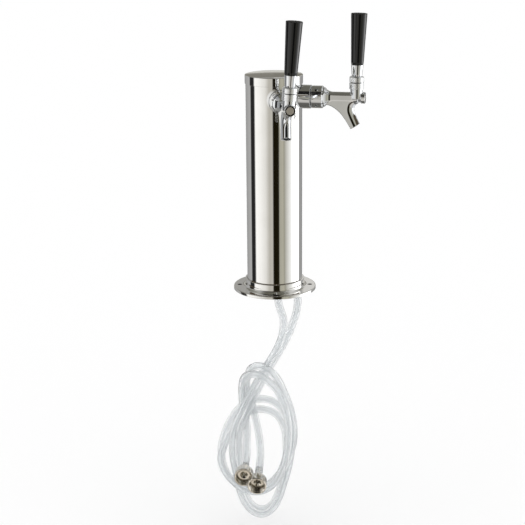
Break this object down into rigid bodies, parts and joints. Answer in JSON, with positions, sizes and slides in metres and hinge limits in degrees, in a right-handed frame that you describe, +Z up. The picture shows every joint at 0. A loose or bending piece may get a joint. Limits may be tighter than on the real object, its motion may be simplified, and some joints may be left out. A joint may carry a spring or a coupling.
{
  "type": "beer tap tower",
  "caption": "Polished column beer tower on a round flange, its faucets with black handles splayed forward and coiled clear beer hoses hanging below.",
  "frame": {"origin": "centre of the base flange's underside, on the column's axis", "axes": "+Z up the column; -Y is the front, half way between the taps; +X is to the right of someone facing the taps"},
  "size_m": [0.153, 0.1913, 0.7502],
  "materials": {
    "steel": "polished stainless steel",
    "chrome": "bright chrome plate",
    "brass": "plain turned brass",
    "nickel": "bright nickel plate with a warm tint",
    "black_plastic": "gloss",
    "white_plastic": "satin",
    "rubber": "matt",
    "vinyl": "translucent clear vinyl"
  },
  "bodies": {
    "tower": {"column_tube": "steel", "top_cap": "steel", "base_flange": "steel", "left_shank": "steel", "left_shank_collar": "chrome", "left_inner_saddle": "white_plastic", "left_lock_nut": "brass", "left_tail_elbow": "steel", "left_hose_clamp": "steel", "left_coupling_nut": "chrome", "left_coupling_washer": "rubber", "left_faucet_body": "chrome", "left_bonnet": "chrome", "left_friction_washer": "white_plastic", "left_ball_washer": "rubber", "left_hose": "vinyl", "left_tailpiece": "nickel", "right_shank": "steel", "right_shank_collar": "chrome", "right_inner_saddle": "white_plastic", "right_lock_nut": "brass", "right_tail_elbow": "steel", "right_hose_clamp": "steel", "right_coupling_nut": "chrome", "right_coupling_washer": "rubber", "right_faucet_body": "chrome", "right_bonnet": "chrome", "right_friction_washer": "white_plastic", "right_ball_washer": "rubber", "right_hose": "vinyl", "right_tailpiece": "nickel"},
    "left_lever": {"left_lever": "steel", "left_lever_collar": "chrome", "left_knob_ferrule": "chrome", "left_tap_knob": "black_plastic"},
    "left_shaft": {"left_valve_shaft": "steel", "left_shaft_seal": "rubber", "left_shaft_nut": "steel"},
    "left_beer_nut": {"left_beer_nut": "nickel"},
    "right_lever": {"right_lever": "steel", "right_lever_collar": "chrome", "right_knob_ferrule": "chrome", "right_tap_knob": "black_plastic"},
    "right_shaft": {"right_valve_shaft": "steel", "right_shaft_seal": "rubber", "right_shaft_nut": "steel"},
    "right_beer_nut": {"right_beer_nut": "nickel"}
  },
  "joints": [
    {"name": "left_tap_lever", "type": "hinge", "parent": "tower", "child": "left_lever", "pos_m": [-0.06292, -0.09182, 0.28666], "axis": [0.8175, -0.5724, -0.0645], "range_deg": [0, 24]},
    {"name": "left_valve_travel", "type": "slide", "parent": "tower", "child": "left_shaft", "axis": [-0.5736, -0.8192, 0], "range_m": [-0.0075, 0]},
    {"name": "left_nut_spin", "type": "hinge", "parent": "tower", "child": "left_beer_nut", "pos_m": [-0.05939, -0.02315, -0.27173], "axis": [-0.7418, -0.6586, -0.126], "continuous": true},
    {"name": "right_tap_lever", "type": "hinge", "parent": "tower", "child": "right_lever", "pos_m": [0.06384, -0.09117, 0.2867], "axis": [0.8192, 0.5736, 0], "range_deg": [0, 24]},
    {"name": "right_valve_travel", "type": "slide", "parent": "tower", "child": "right_shaft", "axis": [0.5736, -0.8192, 0], "range_m": [-0.0075, 0]},
    {"name": "right_nut_spin", "type": "hinge", "parent": "tower", "child": "right_beer_nut", "pos_m": [-0.0584, 0.0054, -0.26968], "axis": [-0.7301, -0.683, 0.021], "continuous": true}
  ],
  "couplings": [
    {"joint": "left_valve_travel", "follows": "left_tap_lever", "m_per_rad": -0.0174},
    {"joint": "right_valve_travel", "follows": "right_tap_lever", "m_per_rad": -0.0174}
  ]
}
